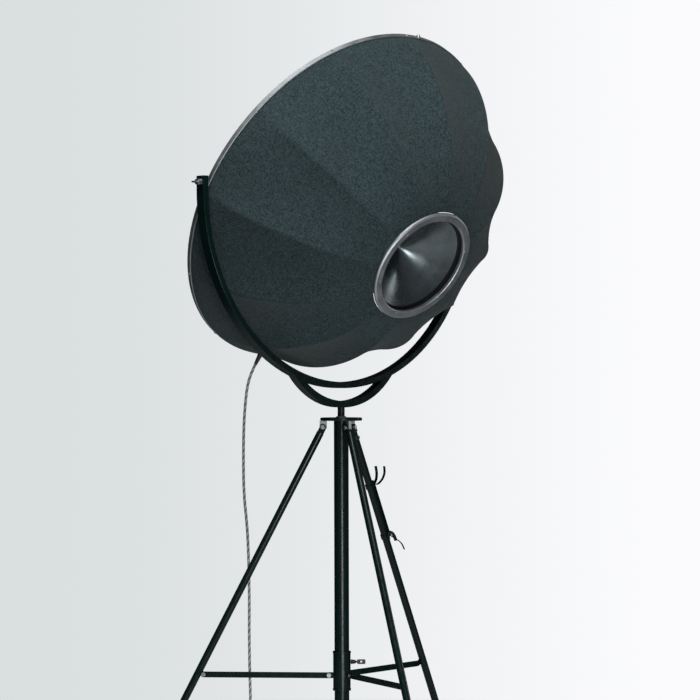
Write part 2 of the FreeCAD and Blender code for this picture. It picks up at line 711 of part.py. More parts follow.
def build_rim():
    half = "spec.rim_width / 2"
    chamfer = 1.5
    node("rim_ring", turned("rim", [
        ("spec.rim_inner", f"-{half}"),
        (f"spec.rim_radius - {chamfer}", f"-{half}"),
        ("spec.rim_radius", f"-{half} + {chamfer}"),
        ("spec.rim_radius", f"{half} - {chamfer}"),
        (f"spec.rim_radius - {chamfer}", half),
        ("spec.rim_inner", half),
    ]), SHADE)
    studs = []
    for side, sign in (("left", 1), ("right", -1)):
        stud = cut(
            f"stud_{side}",
            fuse(
                f"stud_blank_{side}",
                cylinder(f"stud_shaft_{side}", "spec.stud_radius", size("yoke_radius") + 7.0 - 460.0,
                         x=460.0 * sign, y="-spec.shade_below", z="-spec.shade_behind",
                         along=X_AXIS * sign),
                cylinder(f"stud_spacer_{side}", 6.6, size("yoke_radius") - size("yoke_bar") - 460.3,
                         x=460.0 * sign, y="-spec.shade_below", z="-spec.shade_behind",
                         along=X_AXIS * sign),
            ),
            cylinder(f"stud_saddle_{side}", "spec.rim_radius", 80.0, z=-40.0),
        )
        studs.append(stud)
    node("pivot_studs", group("studs", *studs), SHADE)


def build_ribs():
    count = int(size("rib_count"))
    half, reach = size("rib_thickness") / 2, 10
    ribs = []
    curves = []
    for offset in (half, -half):
        curve = Part.BSplineCurve()
        points = [rib_point(i / reach, offset) for i in range(reach + 1)]
        curve.interpolate([Vector(p.x, 0, p.y) for p in points])
        curves.append(curve)
    outer, inner = curves
    face = Part.Face(Part.Wire([
        outer.toShape(),
        Part.makeLine(outer.EndPoint, inner.EndPoint),
        inner.toShape(),
        Part.makeLine(inner.StartPoint, outer.StartPoint),
    ]))
    face.translate(Vector(0, size("rib_width") / 2, 0))
    rib = face.extrude(Vector(0, -size("rib_width"), 0))
    for i in range(count):
        turned_rib = rib.copy()
        turned_rib.rotate(Vector(), Z_AXIS, 360.0 * i / count)
        ribs.append(turned_rib)
    node("ribs", solid("rib_set", Part.makeCompound(ribs)), SHADE)


def gore_loops(distance, levels):
    """Closed outlines of the gores at each level: round at the mouth and the back, drawn in between them."""
    count = int(size("rib_count"))
    loops = []
    for i in range(levels + 1):
        share = i / levels
        point = rib_point(share, distance)
        sag = size("fabric_sag") * sin(pi * share) ** 0.8
        flatness = min(1.0, 4.0 * share, 8.0 * (1 - share))
        chord = point.x * (1 - flatness * (1 - cos(pi / count)))
        corners = []
        for k in range(2 * count):
            angle = pi * k / count
            radius = point.x if k % 2 == 0 else chord - sag
            corners.append(Vector(radius * cos(angle), radius * sin(angle), point.y))
        loops.append(Part.makePolygon(corners + corners[:1]))
    return loops


def gore_skin(offset, thickness, levels):
    """Shell of the gores between two normal offsets from the ribs, open at its mouth and its back."""
    outside, inside = gore_loops(offset + thickness, levels), gore_loops(offset, levels)
    faces = Part.makeLoft(outside, False, True).Faces + Part.makeLoft(inside, False, True).Faces
    for level in (0, -1):
        faces += Part.makeLoft([outside[level], inside[level]], False, True).Faces
    shell = Part.makeShell(faces)
    shell.sewShape()
    skin = Part.Solid(shell)
    if skin.Volume < 0:
        skin.reverse()
    return skin


def build_fabric():
    half, thickness, levels = size("rib_thickness") / 2, size("fabric_thickness"), 12
    outside = half + size("fabric_gap")
    inside = -half - size("lining_gap") - thickness
    node("shade_fabric", solid("fabric", gore_skin(outside, thickness, levels)), SHADE)
    node("shade_lining", solid("lining", gore_skin(inside, thickness, levels)), SHADE)


def build_back_ring():
    front = "spec.ring_back - spec.ring_thickness"
    node("back_ring", turned("ring", [
        ("spec.ring_opening", front),
        ("spec.ring_radius - 1", front),
        ("spec.ring_radius", f"{front} + 1.5"),
        ("spec.ring_radius - 0.5", "spec.ring_back - 3"),
        ("spec.ring_radius - 4", "spec.ring_back"),
        ("spec.ring_opening + 2", "spec.ring_back"),
        ("spec.ring_opening", "spec.ring_back - 2"),
    ]), SHADE)
    node("cone_seat", turned("seat", [
        ("spec.ring_opening + 9", front),
        ("spec.ring_opening + 7", front),
        ("spec.ring_opening + 7", "spec.cone_edge_back - 7"),
        ("spec.cone_edge - 11", "spec.cone_edge_back - 7"),
        ("spec.cone_edge - 11", "spec.cone_edge_back - 9"),
        ("spec.ring_opening + 9", "spec.cone_edge_back - 9"),
    ]), SHADE)


def build_shade_screws():
    """The countersunk screws that hold the ribs to the rim and the back ring to its frame."""
    ribs, ring_screw_count, first_ring_screw = int(size("rib_count")), 6, 20.0
    places = [("spec.rim_radius", 0, X_AXIS, 360.0 * i / ribs) for i in range(ribs)]
    places += [
        ("spec.ring_opening + 6", "spec.ring_back", Z_AXIS, first_ring_screw + 360.0 * i / ring_screw_count)
        for i in range(ring_screw_count)
    ]
    screws = []
    for i, (out, back, along, turn) in enumerate(places):
        screw_head = cone(f"screw_head_{i}", 3.4, 2.4, 1.6, x=out, z=back, along=along)
        screw = group(f"shade_screw_{i}", screw_head)
        screw.Placement = Placement(Vector(), Rotation(Z_AXIS, turn))
        screws.append(screw)
    node("shade_screws", group("shade_screw_set", *screws), SHADE)


def build_cone():
    edge, back, apex = size("cone_edge"), size("cone_edge_back"), size("cone_apex_back")
    wall = size("cone_wall")
    shares = (0.0, 0.25, 0.5, 0.75, 1.0)
    curves = []
    for drop in (0.0, wall):
        curve = Part.BSplineCurve()
        curve.interpolate([
            Vector(3 + (edge - 3) * (1 - s) ** 1.35, 0, back - (back - apex) * s - drop) for s in shares])
        curves.append(curve)
    outer, inner = curves
    tip = Vector(0, 0, apex)
    face = Part.Face(Part.Wire([
        outer.toShape(),
        Part.makeLine(outer.EndPoint, tip),
        Part.makeLine(tip, tip - Z_AXIS * wall),
        Part.makeLine(tip - Z_AXIS * wall, inner.EndPoint),
        inner.toShape(),
        Part.makeLine(inner.StartPoint, outer.StartPoint),
    ]))
    node("reflector_cone", solid("reflector", face.revolve(Vector(), Z_AXIS, 360)), SHADE)


def build_crossbar():
    across = Placement(Vector(), Rotation(Z_AXIS, 90.0 - size("crossbar_turn")))
    frame = SHADE.multiply(across)
    bar = cylinder("crossbar_rod", "spec.crossbar_radius", "2 * (spec.rim_inner - 0.1)",
                   x="-spec.rim_inner + 0.1", along=X_AXIS)
    node("crossbar", bar, frame)
    knob = cut(
        "knob",
        fuse(
            "knob_blank",
            cylinder("knob_base", 5.4, 3.6, x="-spec.rim_radius - 2.6", along=X_AXIS),
            sphere("knob_dome", 4.4, x="-spec.rim_radius - 2.0"),
        ),
        cylinder("knob_saddle", "spec.rim_radius", 40.0, z=-20.0),
    )
    node("crossbar_knob", knob, frame)
    relief = fuse(
        "relief",
        hexagon("relief_gland", 9.0, 5.0, x="spec.rim_radius", along=X_AXIS),
        cone("relief_taper", 6.6, 4.4, 29.0, x="spec.rim_radius + 5", along=X_AXIS),
    )
    node("strain_relief", relief, frame)

    hub = cut(
        "hub",
        cylinder("hub_blank", 17.0, 26.0, z=-12.0),
        cylinder("hub_bore", "spec.crossbar_radius", 60.0, x=-30.0, along=X_AXIS),
    )
    node("holder_hub", hub, frame)
    node("lamp_holder", turned("holder", [
        (0, 14), (19, 14), (20, 16), (20, 40), (18, 58), (13.6, 58), (13.6, 30), (0, 30)]), SHADE)
    node("bulb_cup", turned("cup", [
        (20, 17), (21.5, 17), (36, 30), (46, 52), (49, 74),
        (48, 74), (44.8, 52.5), (35, 31.5), (20, 18.3),
    ]), SHADE)
    bulb = fuse(
        "bulb_shape",
        cylinder("bulb_cap", 13.3, 26.0, z=31.0),
        cone("bulb_neck", 13.3, 26.5, 34.0, z=57.0),
        sphere("bulb_globe", 30.0, z=105.0),
    )
    node("bulb", bulb, SHADE)


# ---------------------------------------------------------------- supply cord

# The cord's route in the head's own frame, from the strain relief down to the floor and into the coil.
CORD_ROUTE = [
    (44.1, -273.4, 1043.2),
    (46.6, -288.5, 1018.7),
    (49.5, -299.5, 984.0),
    (50.5, -306.0, 940.0),
    (51.0, -311.5, 880.0),
    (50.0, -314.5, 795.0),
    (51.0, -312.0, 700.0),
    (48.0, -302.0, 612.0),
    (50.0, -295.0, 525.0),
    (50.5, -292.5, 430.0),
    (49.5, -294.5, 335.0),
    (50.5, -292.0, 240.0),
    (49.0, -290.5, 160.0),
    (47.5, -292.0, 98.0),
    (43.0, -299.0, 48.0),
    (34.0, -320.0, 14.0),
    (24.0, -350.0, 4.1),
    (13.0, -385.0, 3.9),
]


def coil_frame():
    """Coil centre and heading: the last run of the route is tangent to the coil's outer turn."""
    end, before = (Vector(*CORD_ROUTE[i]) for i in (-1, -2))
    heading = Vector(end.x - before.x, end.y - before.y, 0).normalize()
    across = Vector(heading.y, -heading.x, 0)
    outer_turn = size("coil_radius") + size("cord_diameter")
    centre = Vector(end.x, end.y, 0) + across * outer_turn + heading * 4.0
    return centre, heading, across


def cord_tube(name, points):
    """A stretch of cord: its round section swept along runs and tangent arcs."""
    radius = size("cord_diameter") / 2
    path = bent_path([Vector(*point) for point in points], 0.45)
    start = (Vector(*points[1]) - Vector(*points[0])).normalize()
    section = Part.Wire([Part.makeCircle(radius, Vector(*points[0]), start)])
    tube = path.makePipeShell([section], True, False)
    expected = pi * radius ** 2 * path.Length
    print(f"{name}: {path.Length:.1f} mm long, volume {tube.Volume / expected:.4f} of section times length")
    return solid(name, tube)


def build_cord():
    node("cord_lead", cord_tube("lead", CORD_ROUTE), HEAD)
    centre, heading, across = coil_frame()
    middle, cord = size("coil_radius"), size("cord_diameter")
    coil = cut(
        "coil",
        cylinder("coil_outside", "spec.coil_radius + 1.5 * spec.cord_diameter", "2 * spec.cord_diameter"),
        cylinder("coil_inside", "spec.coil_radius - 1.5 * spec.cord_diameter", "4 * spec.cord_diameter",
                 z=-5.0),
    )
    coil = rounded("coil_edges", coil, 3.0, lambda edge: edge.Length > 100)
    node("cord_coil", coil, HEAD.multiply(Placement(centre, Rotation())))

    # The far end leaves the coil's upper outer turn on the side away from the lead.
    outer_turn = middle + cord
    leave = centre + across * outer_turn + Z_AXIS * 1.5 * cord
    along = heading * -1
    plug_start = leave + along * 40.0 + across * 3.0 + Z_AXIS * 0.95
    tail = [leave, leave + along * 19.0 + across * 0.4 + Z_AXIS * 0.45, plug_start]
    node("cord_tail", cord_tube("tail", [tuple(point) for point in tail]), HEAD)
    lie = Placement(plug_start, Rotation(X_AXIS, (tail[2] - tail[1]).normalize()))
    body = fuse(
        "plug_shape",
        cone("plug_taper", 4.6, 9.0, 20.0, along=X_AXIS),
        cylinder("plug_grip", 12.6, 20.0, x=20.0, along=X_AXIS),
        cone("plug_face", 12.6, 11.4, 3.0, x=40.0, along=X_AXIS),
    )
    node("plug_body", body, HEAD.multiply(lie))
    pins = [
        cylinder(f"plug_pin_{i}", 2.4, 19.0, x=43.0, y=side, along=X_AXIS)
        for i, side in enumerate((-7.0, 7.0))
    ]
    node("plug_pins", group("plug_pin_pair", *pins), HEAD.multiply(lie))


# ---------------------------------------------------------------- build and export


def check(obj):
    problems = [state for state in obj.State if state in ("Invalid", "Error")]
    if problems:
        raise RuntimeError(f"{obj.Label} is {problems}")


build_column()
build_top_plate()
for leg_key, leg_azimuth in LEG_AZIMUTHS.items():
    build_leg(leg_key, leg_azimuth)
    build_stay(leg_key, leg_azimuth)
build_collar()
build_hooks()
build_mast()
build_yoke()
build_rim()
build_ribs()
build_fabric()
build_back_ring()
build_shade_screws()
build_cone()
build_crossbar()
build_cord()

doc.recompute()
for item in doc.Objects:
    check(item)
os.makedirs("parts", exist_ok=True)
for item in nodes:
    if item.Shape.isNull() or not item.Shape.isValid() or not item.Shape.Solids:
        raise RuntimeError(f"{item.Label} has no valid solid")
    item.Shape.exportStep(f"parts/{item.Label}.step")
    bounds = item.Shape.optimalBoundingBox()
    print(f"{item.Label:20s} {len(item.Shape.Solids):2d} solids {item.Shape.Volume / 1000:9.1f} cm3 "
          f"x {bounds.XMin:7.1f} {bounds.XMax:7.1f} y {bounds.YMin:7.1f} {bounds.YMax:7.1f} "
          f"z {bounds.ZMin:7.1f} {bounds.ZMax:7.1f}")
print(len(nodes), "nodes")
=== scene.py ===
"""Tripod floor lamp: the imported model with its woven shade, braided cord, finishes, light and camera."""
import json
import math

import bmesh
import bpy
from mathutils import Matrix, Vector, noise


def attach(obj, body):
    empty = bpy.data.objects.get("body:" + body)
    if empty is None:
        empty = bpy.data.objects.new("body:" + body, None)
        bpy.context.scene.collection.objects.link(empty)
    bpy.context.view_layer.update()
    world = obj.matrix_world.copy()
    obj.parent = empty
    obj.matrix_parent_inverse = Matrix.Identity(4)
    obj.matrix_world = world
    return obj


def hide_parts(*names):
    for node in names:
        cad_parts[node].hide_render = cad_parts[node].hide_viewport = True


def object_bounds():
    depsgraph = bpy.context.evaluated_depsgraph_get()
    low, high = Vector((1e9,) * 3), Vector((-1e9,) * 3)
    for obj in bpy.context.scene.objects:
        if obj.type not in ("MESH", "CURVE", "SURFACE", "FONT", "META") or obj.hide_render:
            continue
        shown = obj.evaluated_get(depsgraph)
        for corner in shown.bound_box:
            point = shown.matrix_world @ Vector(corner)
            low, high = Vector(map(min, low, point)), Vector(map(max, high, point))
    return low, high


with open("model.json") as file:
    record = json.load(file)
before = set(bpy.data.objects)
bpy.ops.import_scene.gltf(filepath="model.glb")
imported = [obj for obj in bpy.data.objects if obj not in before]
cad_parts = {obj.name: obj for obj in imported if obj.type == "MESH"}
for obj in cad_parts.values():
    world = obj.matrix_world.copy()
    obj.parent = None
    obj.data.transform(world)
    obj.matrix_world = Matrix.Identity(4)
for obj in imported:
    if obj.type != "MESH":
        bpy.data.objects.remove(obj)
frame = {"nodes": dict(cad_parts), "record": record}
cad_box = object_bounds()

# ---------------------------------------------------------------- sizes, in metres

HEAD_TURN = math.radians(-9.0)
SHADE_LEAN = math.radians(31.675)
PIVOT_HEIGHT = 1.494
SHADE_BEHIND = 0.004
SHADE_BELOW = 0.023

RIB_COUNT = 12
RIB_START = 0.466
RIB_END = 0.147
RIB_RISE = 0.342
RIB_BULGE = 1.7
RIB_FIRST_ANGLE = math.radians(2.2)
RIB_LAST_ANGLE = math.radians(88)
OUTER_OFFSET = 0.0031
INNER_OFFSET = -0.0021
CLOTH_THICKNESS = 0.0012
CLOTH_SAG = 0.014
# Shares of the cloth's length over which its section goes from round to flat between the ribs.
ROUND_AT_MOUTH = 0.25
ROUND_AT_BACK = 0.125

THREADS_PER_METRE = 1100.0

CORD_DIAMETER = 0.0075
COIL_RADIUS = 0.04125
COIL_TURNS = 5.5

head = Matrix.Rotation(HEAD_TURN, 4, "Z")
back = Vector((0, math.cos(SHADE_LEAN), -math.sin(SHADE_LEAN)))
up = Vector((0, math.sin(SHADE_LEAN), math.cos(SHADE_LEAN)))
shade_centre = Vector((0, 0, PIVOT_HEIGHT)) + back * SHADE_BEHIND - up * SHADE_BELOW
shade = head @ Matrix((
    (1, -up.x, back.x, shade_centre.x),
    (0, -up.y, back.y, shade_centre.y),
    (0, -up.z, back.z, shade_centre.z),
    (0, 0, 0, 1),
))


# ---------------------------------------------------------------- node materials


class Finish:
    """A Principled material whose colour, roughness and bump are built up from procedural layers."""

    def __init__(self, name, color, roughness, metallic=0.0, **constants):
        self.material = bpy.data.materials.new(name)
        self.material.use_nodes = True
        self.tree = self.material.node_tree
        self.shader = self.tree.nodes["Principled BSDF"]
        self.shader.inputs["Metallic"].default_value = metallic
        self.set(Base_Color=(*color, 1.0), Roughness=roughness, **constants)
        self.height = None
        self.coords = self.add("ShaderNodeTexCoord").outputs["Object"]

    def set(self, **constants):
        for name, value in constants.items():
            self.shader.inputs[name.replace("_", " ")].default_value = value

    def add(self, kind, **properties):
        node = self.tree.nodes.new(kind)
        for name, value in properties.items():
            setattr(node, name, value)
        return node

    def link(self, source, target):
        self.tree.links.new(source, target)

    def stretched(self, scale, coords=None):
        """Object coordinates, scaled along each axis."""
        mapping = self.add("ShaderNodeMapping")
        mapping.inputs["Scale"].default_value = scale
        self.link(coords or self.coords, mapping.inputs["Vector"])
        return mapping.outputs["Vector"]

    def noise(self, scale, detail=3.0, coords=None, rough=0.55):
        node = self.add("ShaderNodeTexNoise")
        node.inputs["Scale"].default_value = scale
        node.inputs["Detail"].default_value = detail
        node.inputs["Roughness"].default_value = rough
        self.link(coords or self.coords, node.inputs["Vector"])
        return node.outputs["Fac"]

    def ramp(self, source, low, high, stops=(0.3, 0.7)):
        """Maps a factor to a value or colour between two ends."""
        node = self.add("ShaderNodeMapRange", clamp=True)
        node.inputs["From Min"].default_value, node.inputs["From Max"].default_value = stops
        node.inputs["To Min"].default_value, node.inputs["To Max"].default_value = low, high
        self.link(source, node.inputs["Value"])
        return node.outputs["Result"]

    def math(self, operation, a, b):
        """One arithmetic step on two values, each a socket or a number."""
        node = self.add("ShaderNodeMath", operation=operation)
        for socket, value in zip(node.inputs, (a, b)):
            if isinstance(value, (int, float)):
                socket.default_value = value
            else:
                self.link(value, socket)
        return node.outputs["Value"]

    def tint(self, source, low, high, stops=(0.3, 0.7)):
        """Colour between two tones by a factor."""
        node = self.add("ShaderNodeMix", data_type="RGBA")
        self.link(self.ramp(source, 0.0, 1.0, stops), node.inputs["Factor"])
        for socket, value in ((node.inputs[6], low), (node.inputs[7], high)):
            if isinstance(value, tuple):
                socket.default_value = (*value, 1.0)
            else:
                self.link(value, socket)
        return node.outputs[2]

    def paint(self, color=None, roughness=None):
        """Links a colour and a roughness to the shader."""
        if color is not None:
            self.link(color, self.shader.inputs["Base Color"])
        if roughness is not None:
            self.link(roughness, self.shader.inputs["Roughness"])
        return self

    def bump(self, source, distance, strength=1.0):
        """Adds one layer of bump over the layers before it."""
        node = self.add("ShaderNodeBump")
        node.inputs["Distance"].default_value = distance
        node.inputs["Strength"].default_value = strength
        self.link(source, node.inputs["Height"])
        if self.height is not None:
            self.link(self.height, node.inputs["Normal"])
        self.height = node.outputs["Normal"]
        self.link(self.height, self.shader.inputs["Normal"])
        return self

    def edges(self, radius):
        """A mask that is 1 along sharp edges, where paint wears thin."""
        bevel = self.add("ShaderNodeBevel", samples=4)
        bevel.inputs["Radius"].default_value = radius
        normal = self.add("ShaderNodeNewGeometry").outputs["Normal"]
        dot = self.add("ShaderNodeVectorMath", operation="DOT_PRODUCT")
        self.link(bevel.outputs["Normal"], dot.inputs[0])
        self.link(normal, dot.inputs[1])
        return self.ramp(dot.outputs["Value"], 1.0, 0.0, (0.80, 0.99))


def tone(color, factor):
    """The same colour, lighter or darker."""
    return tuple(channel * factor for channel in color)


def painted(name, color, roughness, wear=0.5):
    """Satin powder paint: a fine orange peel, an uneven gloss and thin edges."""
    finish = Finish(name, color, roughness, Specular_IOR_Level=0.25)
    cloud = finish.noise(9.0, 5.0)
    worn = finish.math("MULTIPLY", finish.edges(0.0007), finish.ramp(finish.noise(160.0), 0.1, wear))
    body = finish.tint(cloud, tone(color, 0.82), tone(color, 1.25))
    finish.paint(
        finish.tint(worn, body, tone(color, 3.2), (0.0, 1.0)),
        finish.ramp(finish.noise(55.0, 4.0), roughness - 0.07, roughness + 0.10),
    )
    return finish.bump(finish.noise(1400.0, 2.0), 0.00006, 0.5)


def satin_metal(name, color, roughness, streaks=(40.0, 40.0, 900.0), depth=0.00003):
    """Metal with a fine directional grain and handling marks in its roughness."""
    finish = Finish(name, color, roughness, 1.0)
    grain = finish.noise(1.0, 4.0, finish.stretched(streaks))
    marks = finish.noise(24.0, 6.0)
    worn = finish.ramp(marks, roughness - 0.05, roughness + 0.07)
    finish.paint(
        finish.tint(marks, tone(color, 0.86), tone(color, 1.1)),
        finish.math("ADD", finish.ramp(grain, -0.06, 0.08), worn),
    )
    return finish.bump(grain, depth, 0.6)


def moulded(name, color, roughness, grain=900.0, depth=0.00008):
    """Moulded plastic or rubber with a fine etched grain."""
    finish = Finish(name, color, roughness)
    finish.paint(
        finish.tint(finish.noise(14.0, 5.0), tone(color, 0.85), tone(color, 1.3)),
        finish.ramp(finish.noise(70.0, 4.0), roughness - 0.08, roughness + 0.08),
    )
    return finish.bump(finish.noise(grain, 2.0), depth, 0.7)


def woven(name, color, sheen, mottle=0.22):
    """Plain weave laid along the gore: warp and weft from the cloth's own run and width, slubs over both."""
    finish = Finish(name, color, 0.88, Sheen_Weight=sheen, Sheen_Roughness=0.42, Specular_IOR_Level=0.25)
    lie = finish.add("ShaderNodeAttribute", attribute_name="lie").outputs["Vector"]
    split = finish.add("ShaderNodeSeparateXYZ")
    finish.link(lie, split.inputs["Vector"])
    waves = []
    for axis in ("X", "Y"):
        phase = finish.math("MULTIPLY", split.outputs[axis], 2 * math.pi * THREADS_PER_METRE)
        waves.append(finish.math("SINE", phase, 0.0))
    weave = finish.math("MULTIPLY", *waves)
    slub_warp = finish.noise(1.0, 3.0, finish.stretched((700.0, 40.0, 1.0), coords=lie), 0.7)
    slub_weft = finish.noise(1.0, 3.0, finish.stretched((40.0, 700.0, 1.0), coords=lie), 0.7)
    slubs = finish.math("ADD", slub_warp, slub_weft)
    grain = finish.noise(240.0, 3.0, rough=0.8)
    cloud = finish.noise(5.0, 4.0)
    mixed = finish.math("ADD", finish.math("MULTIPLY", grain, 0.75), finish.math("MULTIPLY", slubs, 0.4))
    cloth = finish.tint(mixed, tone(color, 1.0 - 3.4 * mottle), tone(color, 1.0 + 4.2 * mottle), (0.66, 0.89))
    shaded = finish.add("ShaderNodeMix", data_type="RGBA", blend_type="MULTIPLY")
    shaded.inputs["Factor"].default_value = 1.0
    finish.link(cloth, shaded.inputs[6])
    finish.link(finish.tint(cloud, (0.9, 0.9, 0.9), (1.08, 1.08, 1.08)), shaded.inputs[7])
    finish.paint(shaded.outputs[2], finish.ramp(grain, 0.78, 0.95))
    finish.bump(slubs, 0.00025, 0.8)
    finish.bump(grain, 0.0003, 0.7)
    return finish.bump(weave, 0.0002, 0.6)


CLOTH = (0.022, 0.038, 0.041)
LINING = (0.80, 0.79, 0.75)
PAINT = (0.0015, 0.0085, 0.0075)

dark_paint = painted("dark_paint", PAINT, 0.22, 0.15)
outer_cloth = woven("outer_cloth", CLOTH, 0.08)
inner_cloth = woven("inner_cloth", LINING, 0.15, mottle=0.03)

finishes = {
    "dark_paint": dark_paint,
    "bright_steel": satin_metal("bright_steel", (0.50, 0.52, 0.52), 0.32),
    "satin_aluminium": satin_metal("satin_aluminium", (0.40, 0.425, 0.44), 0.5),
    "black_plastic": moulded("black_plastic", (0.018, 0.02, 0.02), 0.5),
    "rubber": moulded("rubber", (0.02, 0.02, 0.02), 0.75, 600.0, 0.00015),
    "cup_paint": painted("cup_paint", (0.62, 0.62, 0.60), 0.35, 0.1),
}


def spun_cone():
    """Spun and blackened metal: turning marks at each depth of the cone, in its roughness and bump."""
    finish = Finish("spun_metal", (0.14, 0.165, 0.17), 0.23, 1.0)
    level = finish.add("ShaderNodeVectorMath", operation="DOT_PRODUCT")
    level.inputs[1].default_value = head.to_3x3() @ back
    finish.link(finish.coords, level.inputs[0])
    turning = finish.add("ShaderNodeTexNoise", noise_dimensions="1D")
    turning.inputs["Scale"].default_value = 1500.0
    turning.inputs["Detail"].default_value = 4.0
    finish.link(level.outputs["Value"], turning.inputs["W"])
    marks = turning.outputs["Fac"]
    finish.paint(
        finish.tint(finish.noise(18.0, 5.0), (0.12, 0.145, 0.15), (0.17, 0.20, 0.21)),
        finish.math("ADD", finish.ramp(marks, -0.02, 0.03), finish.ramp(finish.noise(30.0, 5.0), 0.22, 0.31)),
    )
    return finish.bump(marks, 0.00002, 0.4)


def opal():
    """Opal glass, with light scattered a little beneath its surface."""
    finish = Finish("opal_glass", (0.93, 0.93, 0.90), 0.3, Subsurface_Weight=0.35, Coat_Weight=0.4)
    finish.set(Subsurface_Radius=(0.01, 0.01, 0.01))
    finish.paint(finish.tint(finish.noise(40.0, 4.0), (0.90, 0.90, 0.87), (0.95, 0.95, 0.93)),
                 finish.ramp(finish.noise(120.0), 0.25, 0.36))
    return finish.bump(finish.noise(700.0), 0.00003, 0.4)


finishes["spun_metal"] = spun_cone()
finishes["opal_glass"] = opal()


def cord_finish():
    """Braided textile: its two greys come from the braid's own pattern and from painted shade in the braid's
    grooves, its fuzz from noise.
    """
    finish = Finish("cord_braid", (0.30, 0.29, 0.30), 0.85, Sheen_Weight=0.3, Sheen_Roughness=0.5)
    yarn_and_groove_shade = finish.add("ShaderNodeAttribute", attribute_name="yarn_and_groove_shade").outputs["Fac"]
    fuzz = finish.noise(2600.0, 2.0)
    blend = finish.math("ADD", yarn_and_groove_shade, finish.ramp(fuzz, -0.22, 0.22))
    # This lightness carries the braid's two-tone pattern and painted shade in the braid's grooves.
    finish.paint(finish.tint(blend, (0.035, 0.035, 0.04), (0.50, 0.49, 0.50), (0.15, 0.85)),
                 finish.ramp(fuzz, 0.75, 0.95))
    return finish.bump(fuzz, 0.0001, 0.8)


finishes["cord_braid"] = cord_finish()
slots = {part["node"]: part["material_slot"] for part in frame["record"]["subparts"]}
for name, obj in frame["nodes"].items():
    finish = finishes.get(slots[name])
    if finish:
        for slot in obj.material_slots:
            slot.link = "OBJECT"
            slot.material = finish.material


# ---------------------------------------------------------------- mesh helpers


def new_object(name, vertices, faces, finish):
    """A smooth-shaded mesh object with one finish."""
    mesh = bpy.data.meshes.new(name)
    mesh.from_pydata([tuple(v) for v in vertices], [], faces)
    mesh.polygons.foreach_set("use_smooth", [True] * len(mesh.polygons))
    mesh.update()
    obj = bpy.data.objects.new(name, mesh)
    bpy.context.scene.collection.objects.link(obj)
    obj.data.materials.append(finish.material)
    return obj


def store(obj, name, kind, values):
    """Keeps one value for each vertex as a named attribute."""
    attribute = obj.data.attributes.new(name, kind, "POINT")
    if kind == "FLOAT":
        attribute.data.foreach_set("value", values)
    else:
        attribute.data.foreach_set("vector", [number for value in values for number in value])


def apply_modifiers(obj):
    """Bakes an object's modifiers into its mesh."""
    evaluated = obj.evaluated_get(bpy.context.evaluated_depsgraph_get())
    mesh = bpy.data.meshes.new_from_object(evaluated)
    obj.modifiers.clear()
    obj.data = mesh
    return obj


# ---------------------------------------------------------------- shade cloth


def rib_point(share, offset):
    """Radius and height of the ribs' curve at a share of its length, moved out along its normal."""
    power = 2 / RIB_BULGE

    def on_curve(angle):
        return Vector((
            RIB_END + (RIB_START - RIB_END) * math.cos(angle) ** power,
            RIB_RISE * math.sin(angle) ** power,
        ))

    angle = RIB_FIRST_ANGLE + (RIB_LAST_ANGLE - RIB_FIRST_ANGLE) * share
    step = 0.01
    along = on_curve(angle + step) - on_curve(angle - step)
    normal = Vector((along.y, -along.x)).normalized()
    return on_curve(angle) + normal * offset


def ease(share):
    """Smooth step from 0 to 1."""
    share = min(1.0, max(0.0, share))
    return share * share * (3 - 2 * share)


def gore_sheet(name, offset, finish, rows=72, columns=26):
    """One sheet of sewn gores, stretched from rib to rib and drawn in between them."""
    gore = 2 * math.pi / RIB_COUNT
    profile = [rib_point(row / rows, offset) for row in range(rows + 1)]
    lengths = [0.0]
    for low, high in zip(profile, profile[1:]):
        lengths.append(lengths[-1] + (high - low).length)
    total = RIB_COUNT * columns
    vertices, lie = [], []
    for row, point in enumerate(profile):
        share = row / rows
        tension = math.sin(math.pi * share) ** 0.8 if 0 < share < 1 else 0.0
        flatness = ease(share / ROUND_AT_MOUTH) * ease((1 - share) / ROUND_AT_BACK)
        for column in range(total):
            k, across = divmod(column, columns)
            across /= columns
            angle = gore * (k + across)
            chord = point.x * math.cos(gore / 2) / math.cos(gore * (across - 0.5))
            chord = point.x + (chord - point.x) * flatness
            seam = min(across, 1 - across) * gore * point.x
            dip = CLOTH_SAG * tension * (4 * across * (1 - across)) ** 0.9
            welt = (0.0007 * math.exp(-((seam / 0.0022) ** 2))
                    - 0.0005 * math.exp(-(((seam - 0.0042) / 0.0018) ** 2)))
            spot = Vector((chord * math.cos(angle), chord * math.sin(angle), point.y))
            ripple = noise.noise(Vector((spot.x * 9, spot.y * 9, spot.z * 9 + offset * 50)))
            pucker = math.sin(angle * RIB_COUNT * 9) * 0.0005 * (
                math.exp(-lengths[row] / 0.016) + math.exp(-(lengths[-1] - lengths[row]) / 0.012))
            calm = min(1.0, seam / 0.02)
            radius = chord - dip + welt + 0.0011 * ripple * calm * tension + pucker * calm
            vertices.append((radius * math.cos(angle), radius * math.sin(angle), point.y))
            lie.append((gore * (across - 0.5) * point.x + k * 0.3, lengths[row], 0.0))
    faces = [
        (row * total + column, row * total + (column + 1) % total,
         (row + 1) * total + (column + 1) % total, (row + 1) * total + column)
        for row in range(rows) for column in range(total)
    ]
    obj = new_object(name, [shade @ Vector(v) for v in vertices], faces, finish)
    store(obj, "lie", "FLOAT_VECTOR", lie)
    thick = obj.modifiers.new("thickness", "SOLIDIFY")
    thick.thickness = CLOTH_THICKNESS
    thick.offset = 0.0
    apply_modifiers(obj)
    area = sum(
        (profile[row] + profile[row + 1]).x / 2 * 2 * math.sin(gore / 2) * (lengths[row + 1] - lengths[row])
        for row in range(rows)
    ) * RIB_COUNT
    widest = 2 * profile[0].x * math.sin(gore / 2)
    return obj, widest * RIB_COUNT, lengths[-1], area


